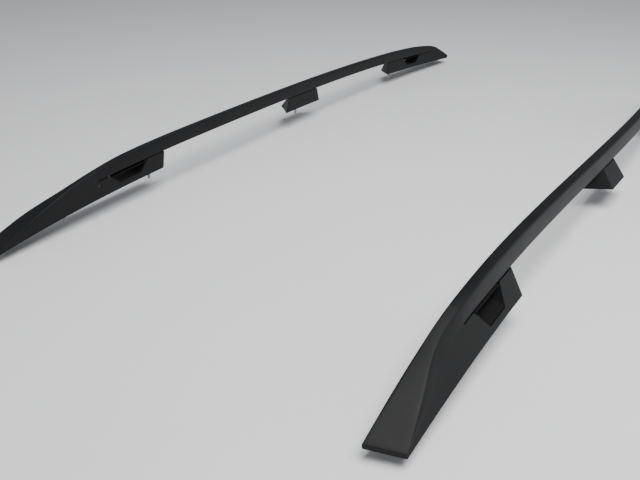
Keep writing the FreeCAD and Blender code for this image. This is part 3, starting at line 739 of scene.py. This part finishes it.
# Brackets, pads and hidden fasteners. Three cast aluminium brackets a side stand in the feet on rubber pads,
# with sealing washers round the studs. Screws through their saddles reach rivet nuts in the beam, nylon clips
# hold the covers and plastic plugs close the beam's ends. These keep their modelled shapes.
cast = Finish("cast_aluminium", Metallic=0.9)
cast_skin = cast.noise(0.0008, detail=4.0)
stain = cast.noise(0.018, detail=3.0)
pits = cast.step(cast.cells(0.0012), 0.05, 0.28)
cast.show(cast.blend(stain, (0.36, 0.365, 0.375), (0.56, 0.56, 0.57)), 0.42 + cast_skin * 0.25)
cast.relief(cast_skin * 0.5 + pits * 0.5, 0.00012, 0.7)

pad_rubber = Finish("pad_rubber", Specular_IOR_Level=0.2)
bloom = pad_rubber.noise(0.012, detail=4.0)
matte = pad_rubber.noise(0.0006, detail=3.0)
pad_rubber.show(pad_rubber.blend(bloom, (0.007, 0.007, 0.007), (0.016, 0.016, 0.0155)), 0.70 + bloom * 0.18)
pad_rubber.relief(matte, 0.00006, 0.7)

foam = Finish("closed_cell_washer", Specular_IOR_Level=0.2)
bubbles = foam.step(foam.cells(0.0006), 0.1, 0.5)
foam.show(foam.blend(bubbles, (0.012, 0.012, 0.012), (0.032, 0.032, 0.031)), 0.75 + bubbles * 0.15)
foam.relief(bubbles, 0.00012, 0.8)

nylon = Finish("natural_nylon", Specular_IOR_Level=0.4, Subsurface_Weight=0.08, Subsurface_Scale=0.002)
flow = nylon.noise(0.006, detail=3.0)
nylon.show(nylon.blend(flow, (0.68, 0.665, 0.61), (0.78, 0.77, 0.73)), 0.38 + flow * 0.12)
nylon.relief(flow, 0.00003, 0.4)

carried_over = {
    "front_bracket": cast, "mid_bracket": cast, "rear_bracket": cast,
    "front_pad": pad_rubber, "mid_pad": pad_rubber, "rear_pad": pad_rubber,
    "sealing_washers": foam, "cover_clips": nylon, "stud_nuts": zinc, "rivet_nuts": zinc,
    "beam_screws": black_steel, "front_beam_plug": liner_black, "rear_beam_plug": liner_black}
for side in ("left_", "right_"):
    for name, finish in carried_over.items():
        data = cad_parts[side + name].data
        if not data.materials:
            data.materials.append(finish.material)
        for index in range(len(data.materials)):
            data.materials[index] = finish.material

# Floor. A plain pale studio floor, which isn't part of the rails. It lies at the level of the lowest stud
# tips, which touch it.
floor_half = 60.0
floor_paint = Finish("pale_floor", Specular_IOR_Level=0.3)
mottle = floor_paint.noise(0.5, detail=3.0)
floor_paint.show(floor_paint.blend(mottle, (0.72, 0.72, 0.73), (0.76, 0.76, 0.77)), 0.7)
ground = bmesh.new()
bmesh.ops.create_grid(ground, x_segments=1, y_segments=1, size=floor_half)
ground_data = bpy.data.meshes.new("floor")
ground.to_mesh(ground_data)
ground.free()
floor = bpy.data.objects.new("floor", ground_data)
bpy.context.collection.objects.link(floor)
ground_data.materials.append(floor_paint.material)

# Studio light. A pale surround lights every side a little, and a square softbox hangs over the rails. A
# second one stands low beside the left rail's tail, so that the outer faces show their form.
softbox_size = 2.2
world = bpy.data.worlds.new("studio")
bpy.context.scene.world = world
world.use_nodes = True
surround = world.node_tree.nodes["Background"].inputs
surround["Color"].default_value, surround["Strength"].default_value = (0.92, 0.95, 1.0, 1), 0.32


def add_softbox(name, place, target, power):
    lamp = bpy.data.lights.new(name, "AREA")
    lamp.shape, lamp.size, lamp.energy = "SQUARE", softbox_size, power
    light = bpy.data.objects.new(name, lamp)
    light.location = place
    light.rotation_euler = (Vector(target) - Vector(place)).to_track_quat("-Z", "Y").to_euler()
    bpy.context.collection.objects.link(light)


add_softbox("overhead", (1.1, -0.8, 3.1), (0.2, -0.6, 0), 175)
add_softbox("beside_left_rail", (4.2, 3.4, 1.5), (0.5, -0.2, 0.1), 40)

# Camera. It looks back along the roof and down from above the car's left front corner, with a slightly long
# lens, and everything it sees is sharp.
lens = bpy.data.cameras.new("camera")
lens.sensor_width, lens.lens = 36.0, 38.45
lens.clip_start, lens.clip_end = 0.05, 60.0
camera = bpy.data.objects.new("camera", lens)
bpy.context.collection.objects.link(camera)
heading, tilt, roll = math.radians(35.12), math.radians(90 - 29.721), math.radians(0.706)
camera.matrix_world = (Matrix.Translation((0.8688, -1.7571, 0.8312)) @ Matrix.Rotation(heading, 4, "Z") @
                       Matrix.Rotation(tilt, 4, "X") @ Matrix.Rotation(roll, 4, "Z"))
bpy.context.scene.camera = camera
